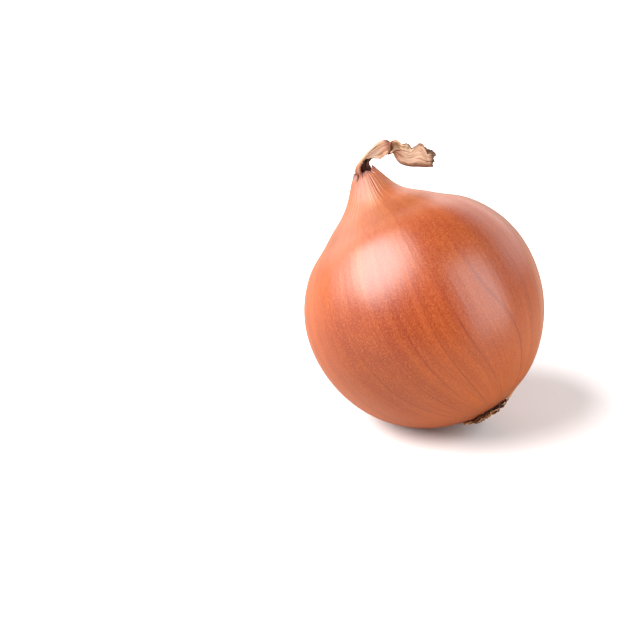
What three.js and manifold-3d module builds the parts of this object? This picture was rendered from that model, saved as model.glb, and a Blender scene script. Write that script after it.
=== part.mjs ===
// A whole brown onion, lying on its side on a small flat spot.
//
// The onion is one grown bulb in its dry skin, a twisted ribbon of withered leaf ends that
// stands in the top of the neck, and a root plate with its cropped, dried roots.
//
// Units are millimetres and +Z is up. The origin is the centre of the flat spot on the surface.
// The pieces are made in the onion's own frame, with Z along its axis from root to neck, X to
// the side that the ribbon turns to, and Y away from it. Two nested groups then lay it down.
import * as THREE from 'three';
import { mergeVertices } from 'three/addons/utils/BufferGeometryUtils.js';
import Module from 'manifold-3d';

const wasm = await Module();
wasm.setup();

// Driving dimensions
const bodyRadius = 40.1;
const flatSpotRadius = 8;
const leanBackAngle = THREE.MathUtils.degToRad(28);
const leanSideAngle = THREE.MathUtils.degToRad(26);
const centreHeight = Math.sqrt(bodyRadius ** 2 - flatSpotRadius ** 2);
const pieceGap = 0.3;

// The neck: how far it stands above the round body, how slim it is, and how its axis bends
const neckRise = 15;
const neckSpread = 9.1;
const neckTopAngle = 4.8;
const neckBend = 1.5;
const neckBendStart = 37;
const neckBendEnd = 50;
const pleatStart = 34;
const pleatFull = 46;
const pleatDepth = 0.036;

// How far the body is fuller beside the root end, on the side that the root end has grown to
const rootSideFullness = 0.5;

// The cup in the top of the neck, which the withered leaves stand in. Its lip is ragged, stands
// higher at the left and right, and is drawn in at the left, where the ribbon leaves it.
const cupRadius = 3.3;
const cupFloor = 46.6;
const cupFloorRounding = 0.4;
const lipRounding = 0.35;
const lipRise = 0.8;
const lipDrawnIn = 0.6;

// The root end, which has grown a little to one side: the shallow recess in the skin's edge,
// the root plate that sits in it, and the cropped roots
const rootTilt = THREE.MathUtils.degToRad(6);
const recessRadius = 7.9;
const recessFloor = -37.8;
const recessFlare = 0.4;
const rootPlateRadius = recessRadius - 0.5;
const rootPlateBottom = -40.5;
const rootPlateEdge = 0.5;

// The cropped roots: thickness is from the middle of a root to a corner
const rootCount = 64;
const rootSides = 4;
const rootSteps = 2;
const rootSunkDepth = 1.0;
const rootShortest = 1.3;
const rootLongest = 2.0;
const rootThinnest = 0.45;
const rootThickest = 0.72;
const rootClearance = 0.5;
const strayRootCount = 5;
const strayRootReach = 3.0;

// The withered leaf ends, and the dried pith that they stand in
const leafThickness = 0.64;
const leafSteps = 40;
const leafWallSteps = 4;
const leafFoldSteps = 4;
const pithHeight = 1.9;

// How finely the round forms are divided
const bulbSegments = 72;
const neckRows = 11;
const bodyRows = 26;
const recessSegments = 48;
const plateSegments = 24;
const pithSegments = 14;

const bulbSkin = new THREE.MeshStandardMaterial({ color: 0xc8693a, roughness: 0.42, metalness: 0 });
const driedLeaf = new THREE.MeshStandardMaterial({ color: 0xcaa37c, roughness: 0.75, metalness: 0 });
const driedRoot = new THREE.MeshStandardMaterial({ color: 0x7d5a3c, roughness: 0.85, metalness: 0 });

// Two groups lay the onion down: one leans it back, the other leans it to the side. A third
// turns the root end about the body's centre.
const onion = new THREE.Group();
onion.position.z = centreHeight;
onion.rotation.x = -leanBackAngle;
const leaned = new THREE.Group();
leaned.rotation.y = -leanSideAngle;
onion.add(leaned);
const rootEnd = new THREE.Group();
rootEnd.rotation.y = -rootTilt;
leaned.add(rootEnd);
onion.updateMatrixWorld(true);

// A closed solid from a geometry: shared corners are merged and flat triangles dropped
function solidOf(geometry) {
  geometry.deleteAttribute('normal');
  geometry.deleteAttribute('uv');
  const merged = mergeVertices(geometry);
  const corners = [];
  for (let i = 0; i < merged.index.count; i += 3) {
    const [a, b, c] = [0, 1, 2].map((k) => merged.index.getX(i + k));
    if (a !== b && b !== c && c !== a) corners.push(a, b, c);
  }
  return new wasm.Manifold(new wasm.Mesh({
    numProp: 3,
    vertProperties: new Float32Array(merged.attributes.position.array),
    triVerts: new Uint32Array(corners),
  }));
}

// The way back, from a solid to a geometry
function geometryOf(solid) {
  const mesh = solid.getMesh();
  const geometry = new THREE.BufferGeometry();
  geometry.setAttribute('position', new THREE.BufferAttribute(mesh.vertProperties, 3));
  geometry.setIndex(new THREE.BufferAttribute(mesh.triVerts, 1));
  geometry.computeVertexNormals();
  return geometry;
}

function placePiece(group, name, solid, material) {
  const piece = new THREE.Mesh(geometryOf(solid), material);
  piece.name = name;
  group.add(piece);
}

// What lies below the surface that the onion rests on, as a block in the onion's own frame
function blockBelowSurface() {
  const size = 200;
  const block = new THREE.BoxGeometry(size, size, size);
  block.translate(0, 0, -size / 2);
  block.applyMatrix4(leaned.matrixWorld.clone().invert());
  return solidOf(block);
}

// The room for the root plate, turned with the root end
function rootRecess() {
  const depth = 10;
  const mouth = recessRadius + recessFlare;
  const room = new THREE.CylinderGeometry(mouth, recessRadius, depth, recessSegments);
  room.rotateX(-Math.PI / 2);
  room.translate(0, 0, recessFloor - depth / 2);
  room.applyMatrix4(rootEnd.matrix);
  return solidOf(room);
}

// The body's outline in polar form, from the neck at 0 degrees to the root at 180: a round
// body that is a little full under the shoulder and a little slack on it, and a rise to the neck
function outlineRadius(degrees) {
  const neck = neckRise * Math.exp(-((degrees / neckSpread) ** 1.5));
  const fullness = 0.5 * Math.exp(-(((degrees - 70) / 20) ** 2));
  const slack = 0.85 * Math.exp(-(((degrees - 34) / 9) ** 2));
  return bodyRadius + neck + fullness - slack;
}

function outlinePoint(degrees) {
  const angle = THREE.MathUtils.degToRad(degrees);
  const radius = outlineRadius(degrees);
  return new THREE.Vector2(radius * Math.sin(angle), radius * Math.cos(angle));
}

// The section that the bulb is turned from, from the root end, round the skin and over the lip
// of the neck, to the floor of the cup
function bulbSection() {
  const points = [new THREE.Vector2(0, -bodyRadius)];
  const shoulderAngle = 24;
  for (let i = 1; i <= bodyRows; i += 1) {
    points.push(outlinePoint(THREE.MathUtils.lerp(180, shoulderAngle, i / bodyRows)));
  }
  for (let i = 1; i <= neckRows; i += 1) {
    points.push(outlinePoint(THREE.MathUtils.lerp(shoulderAngle, neckTopAngle, i / neckRows)));
  }
  const lip = points[points.length - 1];
  points.push(new THREE.Vector2((lip.x + cupRadius) / 2, lip.y + lipRounding));
  points.push(new THREE.Vector2(cupRadius, lip.y));
  points.push(new THREE.Vector2(cupRadius - cupFloorRounding / 2, cupFloor + cupFloorRounding));
  points.push(new THREE.Vector2(0, cupFloor));
  return points;
}

// How far out the skin stands at a place, as a share of its radius: the slight lobes and low
// ribs of the leaf bases under the skin, and the pleats that deepen up the neck
function skinRelief(turn, height) {
  const lobes = 0.006 * Math.sin(2 * turn) + 0.004 * Math.sin(3 * turn);
  const ribs = 0.0035 * Math.cos(13 * turn + 0.8 * Math.sin(2 * turn));
  const pleatShare = THREE.MathUtils.smoothstep(height, pleatStart, pleatFull);
  const wide = Math.cos(9 * turn + 1.3);
  const narrow = Math.cos(17 * turn + 0.6 * Math.sin(3 * turn));
  return lobes + ribs + pleatDepth * pleatShare * (0.45 * wide + 0.55 * narrow);
}

// How far the skin is pushed out beside the root end, in millimetres
function rootSideBulge(turn, degrees) {
  const share = Math.exp(-(((degrees - 148) / 16) ** 2));
  return (rootSideFullness * share * (1 + Math.cos(turn))) / 2;
}

// How high the ragged lip of the neck stands at a turn, with its two high sides
function lipHeight(turn) {
  return lipRise * Math.cos(2 * turn) + 0.35 * Math.sin(3 * turn + 0.6) + 0.25 * Math.sin(8 * turn);
}

function bulbSolid() {
  const turned = new THREE.LatheGeometry(bulbSection(), bulbSegments);
  turned.rotateX(Math.PI / 2);
  turned.deleteAttribute('normal');
  turned.deleteAttribute('uv');
  const bulb = mergeVertices(turned);
  const place = bulb.attributes.position;
  for (let i = 0; i < place.count; i += 1) {
    const height = place.getZ(i);
    const turn = Math.atan2(place.getY(i), place.getX(i));
    const radius = Math.hypot(place.getX(i), place.getY(i));
    const degrees = THREE.MathUtils.radToDeg(Math.atan2(radius, height));
    const bulge = 1 + rootSideBulge(turn, degrees) / bodyRadius;
    const swell = bulge + skinRelief(turn, height);
    const bend = neckBend * THREE.MathUtils.smoothstep(height, neckBendStart, neckBendEnd);
    const lipShare = THREE.MathUtils.smoothstep(height, cupFloor + 1, neckBendEnd);
    const drawnIn = lipDrawnIn * lipShare * Math.max(0, -Math.cos(turn));
    place.setXYZ(
      i,
      place.getX(i) * swell + bend + drawnIn,
      place.getY(i) * swell,
      height * bulge + lipShare * lipHeight(turn),
    );
  }
  return solidOf(bulb).subtract(rootRecess()).subtract(blockBelowSurface());
}

// Stations along the withered ribbon, from inside the cup to its torn end. Each has the place
// of the strip's middle, how far the fold and the two free edges lie from it, half the space
// between the two walls, and the roll of the fold. The ribbon is closed at the left in the
// neck and along the top of its rise, turns over, and is closed along the bottom of its end.
const ribbonStations = [
  { x: 1.3, y: 0, z: 47.4, fold: 2.3, near: 0.6, far: 1.5, space: 1.9, roll: 0 },
  { x: 1.8, y: 0, z: 51.0, fold: 2.3, near: -0.9, far: 2.2, space: 1.3, roll: 0 },
  { x: 3.1, y: 0.1, z: 53.1, fold: 1.2, near: -0.3, far: 2.1, space: 0.8, roll: 0 },
  { x: 5.9, y: 0.2, z: 54.6, fold: 0.9, near: 1.2, far: 1.4, space: 0.7, roll: 0 },
  { x: 9.5, y: 0.2, z: 54.5, fold: 2.3, near: 2.6, far: 1.9, space: 0.8, roll: 0 },
  { x: 12.4, y: 0.1, z: 54.2, fold: 2.7, near: 2.6, far: 1.9, space: 1.1, roll: 16 },
  { x: 14.4, y: 0, z: 53.3, fold: 1.7, near: 1.0, far: 1.0, space: 2.0, roll: 92 },
  { x: 15.6, y: -0.4, z: 51.0, fold: 2.3, near: 3.4, far: 1.2, space: 1.4, roll: 160 },
  { x: 16.7, y: -0.6, z: 49.2, fold: 2.9, near: 3.8, far: 1.3, space: 1.3, roll: 180 },
  { x: 18.3, y: -0.6, z: 47.7, fold: 2.8, near: 3.1, far: 2.0, space: 1.3, roll: 184 },
  { x: 20.6, y: -0.6, z: 46.3, fold: 2.7, near: 4.9, far: 2.6, space: 1.45, roll: 184 },
  { x: 23.0, y: -0.5, z: 44.7, fold: 2.6, near: 2.9, far: 2.3, space: 1.35, roll: 182 },
  { x: 24.6, y: -0.4, z: 43.7, fold: 2.2, near: 2.3, far: 2.0, space: 1.15, roll: 180 },
];

// Smooth curves through the stations: one for the strip's middle, two for its measures
const ribbonMiddle = smoothCurve((s) => [s.x, s.y, s.z]);
const ribbonReach = smoothCurve((s) => [s.fold, s.near, s.far]);
const ribbonTurn = smoothCurve((s) => [s.space, THREE.MathUtils.degToRad(s.roll), 0]);

function smoothCurve(pick) {
  return new THREE.CatmullRomCurve3(ribbonStations.map((s) => new THREE.Vector3(...pick(s))));
}

// One point of the folded strip's middle surface. Along runs from 0 to 1 up the ribbon, and
// step counts across it, from the near free edge, round the fold, to the far free edge.
function ribbonPoint(along, step) {
  const tangent = ribbonMiddle.getTangent(along);
  const towardEye = new THREE.Vector3(0, -1, 0);
  towardEye.addScaledVector(tangent, -towardEye.dot(tangent)).normalize();
  const side = new THREE.Vector3().crossVectors(towardEye, tangent);
  const [fold, near, far] = ribbonReach.getPoint(along).toArray();
  const [space, roll] = ribbonTurn.getPoint(along).toArray();
  const out = side.clone().multiplyScalar(Math.cos(roll)).addScaledVector(towardEye, -Math.sin(roll));
  const wall = towardEye.clone().multiplyScalar(Math.cos(roll)).addScaledVector(side, Math.sin(roll));

  const straight = fold - space;
  const foldStep = step - leafWallSteps;
  let outward = straight;
  let sideways = space;
  if (foldStep < 0) {
    outward = THREE.MathUtils.lerp(straight, -near + tornEdge(along, 0), -foldStep / leafWallSteps);
  } else if (foldStep > leafFoldSteps) {
    const share = (foldStep - leafFoldSteps) / leafWallSteps;
    outward = THREE.MathUtils.lerp(straight, -far + tornEdge(along, 2), share);
    sideways = -space;
  } else {
    const angle = (Math.PI * foldStep) / leafFoldSteps;
    outward = straight + space * Math.sin(angle);
    sideways = space * Math.cos(angle);
  }
  const point = ribbonMiddle.getPoint(along);
  point.addScaledVector(out, outward);
  point.addScaledVector(wall, sideways * wrinkle(along, step));
  point.addScaledVector(tangent, tornEnd(along, step));
  return point;
}

// The free edges wave a little, the walls are wrinkled, and the end is torn in points, further
// along on the wall behind than on the one in front
function tornEdge(along, phase) {
  return 0.18 * Math.sin(37 * along + phase) + 0.1 * Math.sin(71 * along + 2 * phase);
}

function wrinkle(along, step) {
  return 1 + 0.12 * Math.sin(1.9 * step + 5 * along) * Math.sin(23 * along + 0.7 * step);
}

function tornEnd(along, step) {
  const endShare = THREE.MathUtils.smoothstep(along, 0.88, 1);
  return endShare * (0.6 * Math.cos(0.26 * step) + 0.3 * Math.sin(2.2 * step));
}

// The strip as a closed sheet: the middle surface's points moved half the thickness to each
// side, both faces split into triangles alike, and a rim round the four edges
function ribbonSolid() {
  const across = 2 * leafWallSteps + leafFoldSteps + 1;
  const point = (i, j) => ribbonPoint(
    THREE.MathUtils.clamp(i, 0, leafSteps) / leafSteps,
    THREE.MathUtils.clamp(j, 0, across - 1),
  );
  const positions = [];
  for (const face of [1, -1]) {
    for (let i = 0; i <= leafSteps; i += 1) {
      for (let j = 0; j < across; j += 1) {
        const alongWay = point(i + 1, j).sub(point(i - 1, j));
        const acrossWay = point(i, j + 1).sub(point(i, j - 1));
        const normal = alongWay.cross(acrossWay).normalize();
        const spot = point(i, j).addScaledVector(normal, (face * leafThickness) / 2);
        positions.push(spot.x, spot.y, spot.z);
      }
    }
  }
  const perFace = (leafSteps + 1) * across;
  const index = (face, i, j) => face * perFace + i * across + j;
  const corners = [];
  const quad = (a, b, c, d) => corners.push(a, b, c, a, c, d);
  for (let i = 0; i < leafSteps; i += 1) {
    for (let j = 0; j < across - 1; j += 1) {
      const [a, b] = [index(0, i, j), index(0, i + 1, j)];
      const [c, d] = [index(0, i + 1, j + 1), index(0, i, j + 1)];
      quad(a, b, c, d);
      corners.push(a + perFace, c + perFace, b + perFace, a + perFace, d + perFace, c + perFace);
    }
    quad(index(0, i, 0), index(1, i, 0), index(1, i + 1, 0), index(0, i + 1, 0));
    const last = across - 1;
    quad(index(0, i + 1, last), index(1, i + 1, last), index(1, i, last), index(0, i, last));
  }
  for (let j = 0; j < across - 1; j += 1) {
    quad(index(0, 0, j), index(0, 0, j + 1), index(1, 0, j + 1), index(1, 0, j));
    const end = leafSteps;
    quad(index(0, end, j + 1), index(0, end, j), index(1, end, j), index(1, end, j + 1));
  }
  const sheet = new THREE.BufferGeometry();
  sheet.setAttribute('position', new THREE.Float32BufferAttribute(positions, 3));
  sheet.setIndex(corners);
  return solidOf(sheet);
}

// The dried pith that fills the cup under the ribbon and holds it: a low dome, narrower than the
// cup by the depth of its pleats, and moved over with the bend of the neck
function pithSolid() {
  const radius = cupRadius - pieceGap - cupFloorRounding;
  const floor = cupFloor + pieceGap;
  const section = [
    new THREE.Vector2(0, floor),
    new THREE.Vector2(radius - 0.3, floor),
    new THREE.Vector2(radius, floor + 0.3 * pithHeight),
    new THREE.Vector2(radius - 0.2, floor + 0.75 * pithHeight),
    new THREE.Vector2(0, floor + pithHeight),
  ];
  const pith = new THREE.LatheGeometry(section, pithSegments);
  pith.rotateX(Math.PI / 2);
  const bendShare = THREE.MathUtils.smoothstep(cupFloor + 1, neckBendStart, neckBendEnd);
  pith.translate(neckBend * bendShare, 0, 0);
  return solidOf(pith);
}

// A repeatable draw from 0 to 1 for a root and a property of it
function draw(root, property) {
  const wave = Math.sin(root * 12.9898 + property * 78.233) * 43758.5453;
  return wave - Math.floor(wave);
}

// A point of a root is lifted where the surface under the onion would press it
function aboveSurface(point, lowest) {
  const inWorld = rootEnd.localToWorld(point.clone());
  inWorld.z = Math.max(inWorld.z, lowest);
  return rootEnd.worldToLocal(inWorld);
}

// A short tube along a path of points, which are lifted clear of the surface first
function tubeSolid(points, thickness) {
  const lowest = rootClearance + thickness;
  const path = new THREE.CatmullRomCurve3(points.map((point) => aboveSurface(point, lowest)));
  const section = new THREE.Shape();
  for (let i = 0; i < rootSides; i += 1) {
    const angle = (2 * Math.PI * i) / rootSides;
    section.lineTo(thickness * Math.cos(angle), thickness * Math.sin(angle));
  }
  const options = { steps: rootSteps, extrudePath: path, bevelEnabled: false };
  return solidOf(new THREE.ExtrudeGeometry(section, options));
}

function rootThickness(root) {
  return THREE.MathUtils.lerp(rootThinnest, rootThickest, draw(root, 3));
}

// One cropped root: a short bent tube that starts inside the plate and splays outward, more so
// near the plate's edge. The golden angle spreads the roots evenly over the plate.
function rootSolid(root) {
  const goldenTurn = Math.PI * (3 - Math.sqrt(5));
  const reach = Math.sqrt((root + 0.5) / rootCount);
  const turn = root * goldenTurn;
  const from = new THREE.Vector3(Math.cos(turn), Math.sin(turn), 0);
  from.multiplyScalar((rootPlateRadius - rootThickest) * reach);
  from.z = rootPlateBottom + rootSunkDepth;
  const largestStray = 1.2;
  const lean = turn + largestStray * (2 * draw(root, 1) - 1);
  const outward = new THREE.Vector3(Math.cos(lean), Math.sin(lean), 0);
  const length = THREE.MathUtils.lerp(rootShortest, rootLongest, draw(root, 2));
  const splay = 0.2 + 0.35 * reach;
  const middle = from.clone().addScaledVector(outward, length * 0.3 * splay);
  middle.z -= length * 0.55;
  const tip = from.clone().addScaledVector(outward, length * splay);
  tip.z -= length * (1 - 0.4 * splay);
  return tubeSolid([from, middle, tip], rootThickness(root));
}

// A stray root lies over the skin beside the plate, on the side that is under the body
function strayRootSolid(stray) {
  const across = rootPlateRadius * (draw(stray, 4) - 0.5);
  const height = bodyRadius + pieceGap + rootThickness(stray);
  const points = [0, 0.5, 1].map((share) => {
    const x = -(rootPlateRadius - 1.6 + share * strayRootReach * (0.6 + 0.4 * draw(stray, 5)));
    const y = across * (1 + 0.3 * share);
    return new THREE.Vector3(x, y, -Math.sqrt(height ** 2 - x ** 2 - y ** 2));
  });
  return tubeSolid(points, rootThickness(stray));
}

function rootTuftSolid() {
  const top = recessFloor - pieceGap;
  const section = [
    new THREE.Vector2(0, rootPlateBottom),
    new THREE.Vector2(rootPlateRadius * 0.6, rootPlateBottom),
    new THREE.Vector2(rootPlateRadius - rootPlateEdge, rootPlateBottom + rootPlateEdge),
    new THREE.Vector2(rootPlateRadius, top - 2 * rootPlateEdge),
    new THREE.Vector2(rootPlateRadius - 0.2, top),
    new THREE.Vector2(0, top),
  ];
  const plate = new THREE.LatheGeometry(section, plateSegments);
  plate.rotateX(Math.PI / 2);
  let tuft = solidOf(plate);
  for (let root = 0; root < rootCount; root += 1) tuft = tuft.add(rootSolid(root));
  for (let stray = 0; stray < strayRootCount; stray += 1) tuft = tuft.add(strayRootSolid(stray));
  return tuft;
}

placePiece(leaned, 'bulb', bulbSolid(), bulbSkin);
placePiece(leaned, 'dried_neck', ribbonSolid().add(pithSolid()), driedLeaf);
placePiece(rootEnd, 'root_tuft', rootTuftSolid(), driedRoot);

export default onion;
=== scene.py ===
# %% [markdown]
# # A brown onion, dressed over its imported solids
# The solids of the onion are already packed, so this script only gives them their looks. It
# makes a fine skin, a papery ribbon of withered leaves and a mat of roots, each in the place of
# the plain solid that it stands for, and then lights and frames them as the photograph does.
# Everything is in metres, in the frame of the part: +Z up, the origin under the onion.

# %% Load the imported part
import math

import bpy
import numpy as np
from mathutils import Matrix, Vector


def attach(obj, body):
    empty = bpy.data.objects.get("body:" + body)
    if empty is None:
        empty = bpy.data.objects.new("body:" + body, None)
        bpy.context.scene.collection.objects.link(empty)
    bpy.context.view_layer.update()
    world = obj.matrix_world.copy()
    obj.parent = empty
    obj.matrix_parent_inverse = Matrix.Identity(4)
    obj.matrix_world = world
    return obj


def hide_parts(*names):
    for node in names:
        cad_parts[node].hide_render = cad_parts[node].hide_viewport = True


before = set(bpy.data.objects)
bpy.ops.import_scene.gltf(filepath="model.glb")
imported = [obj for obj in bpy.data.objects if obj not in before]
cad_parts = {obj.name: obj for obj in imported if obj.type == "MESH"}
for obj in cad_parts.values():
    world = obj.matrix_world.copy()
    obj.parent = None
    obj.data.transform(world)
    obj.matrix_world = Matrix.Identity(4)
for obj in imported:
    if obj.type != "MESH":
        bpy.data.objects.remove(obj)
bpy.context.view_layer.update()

# %% [markdown]
# ## How the onion lies
# The onion is made upright, with its axis along Z from root to neck, and then leaned over. The
# same could be done by turning the objects, but a piece that replaces a solid sits at the
# origin with its place in its mesh, so the turn is applied to the points instead.

# %% The pose
MM = 0.001
BODY_RADIUS = 40.1
FLAT_SPOT_RADIUS = 8.0
LEAN_BACK = math.radians(28)
LEAN_SIDE = math.radians(26)
ROOT_TILT = math.radians(6)
CENTRE_HEIGHT = math.sqrt(BODY_RADIUS**2 - FLAT_SPOT_RADIUS**2)


def turn_about_x(angle):
    c, s = math.cos(angle), math.sin(angle)
    return np.array([[1, 0, 0], [0, c, -s], [0, s, c]])


def turn_about_y(angle):
    c, s = math.cos(angle), math.sin(angle)
    return np.array([[c, 0, s], [0, 1, 0], [-s, 0, c]])


LEAN = turn_about_x(-LEAN_BACK) @ turn_about_y(-LEAN_SIDE)
ROOT_TURN = turn_about_y(-ROOT_TILT)


def laid_down(points):
    """Takes points of the upright onion, in millimetres, to the frame, still in millimetres."""
    placed = np.asarray(points) @ LEAN.T
    placed[..., 2] += CENTRE_HEIGHT
    return placed


print("the neck points to", np.round(LEAN[:, 2], 3))

# %% [markdown]
# ## Small helpers
# A closed grid of points becomes a mesh with numpy, which is far quicker than adding faces one
# by one. What a material needs to know about its place on the onion, such as how far along a
# leaf it is, is kept as an attribute of the mesh, so no seam shows as it would with a UV map.

# %% Mesh and number helpers
def smoothstep(value, low, high):
    t = np.clip((value - low) / (high - low), 0, 1)
    return t * t * (3 - 2 * t)


def grid_faces(rows, columns, wrap=False, first=0):
    """The quads of a grid of points laid row by row; wrap joins the last column to the first."""
    i, j = np.meshgrid(np.arange(rows - 1), np.arange(columns if wrap else columns - 1), indexing="ij")
    k = (j + 1) % columns
    quads = np.stack([i * columns + j, i * columns + k, (i + 1) * columns + k, (i + 1) * columns + j], -1)
    return quads.reshape(-1, 4) + first


def sheet_faces(rows, columns, first=0):
    """The quads of a thin closed sheet: a front grid, a back grid after it, and four rims."""
    count = rows * columns
    faces = [grid_faces(rows, columns, first=first), grid_faces(rows, columns, first=first + count)[:, ::-1]]
    for line in (0, columns - 1):
        rim = np.arange(rows) * columns + line + first
        quads = np.stack([rim[:-1], rim[1:], rim[1:] + count, rim[:-1] + count], -1)
        faces.append(quads if line == 0 else quads[:, ::-1])
    for line in (0, rows - 1):
        rim = np.arange(columns) + line * columns + first
        quads = np.stack([rim[:-1], rim[:-1] + count, rim[1:] + count, rim[1:]], -1)
        faces.append(quads if line == 0 else quads[:, ::-1])
    return np.concatenate(faces)


def make_piece(name, points_mm, faces, attributes, node):
    """A mesh object in the frame, riding on the root body in the place of a node."""
    mesh = bpy.data.meshes.new(name)
    mesh.from_pydata((np.asarray(points_mm) * MM).tolist(), [], [list(map(int, f)) for f in faces])
    for key, values in attributes.items():
        values = np.asarray(values, dtype=np.float32)
        kind = "FLOAT_VECTOR" if values.ndim == 2 else "FLOAT"
        layer = mesh.attributes.new(key, kind, "POINT")
        layer.data.foreach_set("vector" if values.ndim == 2 else "value", values.ravel())
    mesh.validate()
    mesh.shade_smooth()
    piece = bpy.data.objects.new(name, mesh)
    bpy.context.scene.collection.objects.link(piece)
    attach(piece, "root")
    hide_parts(node)
    low, high = np.min(points_mm, axis=0), np.max(points_mm, axis=0)
    print(name, len(mesh.polygons), "faces, mm", np.round(low, 1), np.round(high, 1))
    return piece


def unit(vectors):
    return vectors / np.linalg.norm(vectors, axis=-1, keepdims=True)


class Ripple:
    """A smooth, repeatable wave round a circle: a few cosines with drawn phases, about -1 to 1."""

    def __init__(self, seed, counts):
        draw = np.random.default_rng(seed)
        self.counts = list(counts)
        self.phases = draw.uniform(0, 2 * math.pi, len(self.counts))
        self.weights = draw.uniform(0.6, 1.0, len(self.counts))
        self.weights /= math.sqrt((self.weights**2).sum() / 2) * 1.6

    def __call__(self, angle, drift=0.0):
        total = 0
        for count, phase, weight in zip(self.counts, self.phases, self.weights):
            total = total + weight * np.cos(count * angle + phase + drift * math.sin(phase * 7))
        return total


# %% [markdown]
# ## The bulb's outline
# An onion's body is close to a ball, and its neck rises out of it in one smooth sweep. In polar
# form that is a single formula: a constant radius and one bump at the neck. A traced outline
# would need dozens of points and would still show corners.

# %% The outline
# Lengths are in millimetres, and angles in degrees from the neck, as in the rest of the script.
NECK_RISE = 15.0
NECK_SPREAD = 9.1
SHOULDER_FULLNESS = 0.5
SLACK_BELOW_NECK = 0.85
ROOT_SIDE_FULLNESS = 0.5


def hump(degrees, middle, width):
    return np.exp(-(((degrees - middle) / width) ** 2))


def outline_radius(degrees):
    neck = NECK_RISE * np.exp(-((degrees / NECK_SPREAD) ** 1.5))
    shoulder = SHOULDER_FULLNESS * hump(degrees, 70, 20)
    slack = SLACK_BELOW_NECK * hump(degrees, 34, 9)
    return BODY_RADIUS + neck + shoulder - slack


def root_side_bulge(turn, degrees):
    """How far the skin is pushed out beside the root end, in millimetres."""
    return ROOT_SIDE_FULLNESS * hump(degrees, 148, 16) * (1 + np.cos(turn)) / 2


print("outline at the equator", round(float(outline_radius(90.0)), 2), "mm")

# %% [markdown]
# ## The relief of the skin
# As the skin dries it shrinks on to the ribs of the leaves below it, and where it narrows to
# the neck it folds into pleats. A noise would break these up, and on the onion they run on from
# end to end, so each is a sum of a few waves round the axis.

# %% The relief
PLEAT_DEPTH = 0.009


def broad_relief(turn, height):
    """The lobes, ribs and main pleats that the solid has too, as a share of the radius."""
    lobes = 0.006 * np.sin(2 * turn) + 0.004 * np.sin(3 * turn)
    ribs = 0.0035 * np.cos(13 * turn + 0.8 * np.sin(2 * turn))
    wide = np.cos(9 * turn + 1.3)
    narrow = np.cos(17 * turn + 0.6 * np.sin(3 * turn))
    share = smoothstep(height, 34, 46)
    return lobes + ribs + PLEAT_DEPTH * share * (0.45 * wide + 0.55 * narrow)


fine_pleats = Ripple(11, [23, 29, 34, 41, 47, 55])
fibre_ridges = Ripple(12, [61, 74, 88, 97, 110])
long_swells = Ripple(13, [5, 7, 11, 19])


def fine_relief(turn, height, drift):
    """What is too fine for the solid, in millimetres: pleats at the neck, fibres all over."""
    neck = smoothstep(height, 33, 45)
    pleats = 0.05 * neck * fine_pleats(turn, drift)
    fibres = (0.012 + 0.03 * neck) * fibre_ridges(turn, 2 * drift)
    swells = 0.06 * (1 - neck) * long_swells(turn, drift)
    return pleats + fibres + swells


once_round = np.linspace(0, 2 * math.pi, 360)
for name, height in (("equator", 0.0), ("neck", 46.0)):
    depth = float(np.ptp(broad_relief(once_round, height)))
    print("broad relief at the", name, round(depth, 3), "of the radius")

# %% [markdown]
# ## The skin
# The dry outer skin is a thin leaf base with fibres that run from the root to the neck. It is
# made as one fine grid whose rows are rings and whose columns run along the fibres, so the
# relief and the material can follow them. Near the root the rings turn with the root end, which
# has grown a little to one side.

# %% Rings of the skin
SKIN_COLUMNS = 384
NECK_ROWS = 66
BODY_ROWS = 122
NECK_TOP_ANGLE = 4.8
NECK_FOOT_ANGLE = 26
ROOT_EDGE_ANGLE = 168.6


def outer_rows():
    neck = np.linspace(NECK_TOP_ANGLE, NECK_FOOT_ANGLE, NECK_ROWS)
    body = np.linspace(NECK_FOOT_ANGLE, ROOT_EDGE_ANGLE, BODY_ROWS)[1:]
    return np.concatenate([neck, body])


def skin_ring(degrees, turn):
    """One ring of the outer skin, at an angle from the neck that turns with the root end."""
    angle = math.radians(degrees)
    ring = np.stack([
        math.sin(angle) * np.cos(turn),
        math.sin(angle) * np.sin(turn),
        np.full_like(turn, math.cos(angle)),
    ], -1)
    share = float(smoothstep(degrees, 80, 160))
    ring = ring @ turn_about_y(-ROOT_TILT * share).T
    true_angle = np.degrees(np.arccos(np.clip(ring[:, 2], -1, 1)))
    true_turn = np.arctan2(ring[:, 1], ring[:, 0])
    return ring * (outline_radius(true_angle) + root_side_bulge(true_turn, true_angle))[:, None]


print("the skin has", len(outer_rows()), "outer rings of", SKIN_COLUMNS, "points")

# %% [markdown]
# ## The lip of the neck
# The neck ends where its dry leaves broke off, so its lip is ragged, with one crack, and it is
# drawn in a little on the left. A lip of its own would show a seam. Here each ring near the top
# is only raised by the shape of the lip, so that skin and lip are one surface.

# %% The lip
CUP_FLOOR = 46.6
NECK_BEND = 1.5
LIP_RISE = 0.8
LIP_DRAWN_IN = 1.1
LIP_RIGHT_DROP = 0.6
# The crack in the lip: its turn in degrees, its depth in millimetres and half its width.
CRACK_TURN = -128
CRACK_DEPTH = 2.2
CRACK_HALF_WIDTH = 0.09
lip_tears = Ripple(21, [9, 14, 22, 31, 43, 58])


def lip_height(turn):
    """The ragged top of the neck: high at left and right, with a torn crack at the front left."""
    base = LIP_RISE * np.cos(2 * turn) + 0.35 * np.sin(3 * turn + 0.6) + 0.25 * np.sin(8 * turn)
    away = np.angle(np.exp(1j * (turn - math.radians(CRACK_TURN))))
    crack = CRACK_DEPTH * np.exp(-((away / CRACK_HALF_WIDTH) ** 2))
    right = LIP_RIGHT_DROP * np.maximum(0, np.cos(turn)) ** 3
    return base - right + 0.22 * lip_tears(turn) - crack


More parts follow.
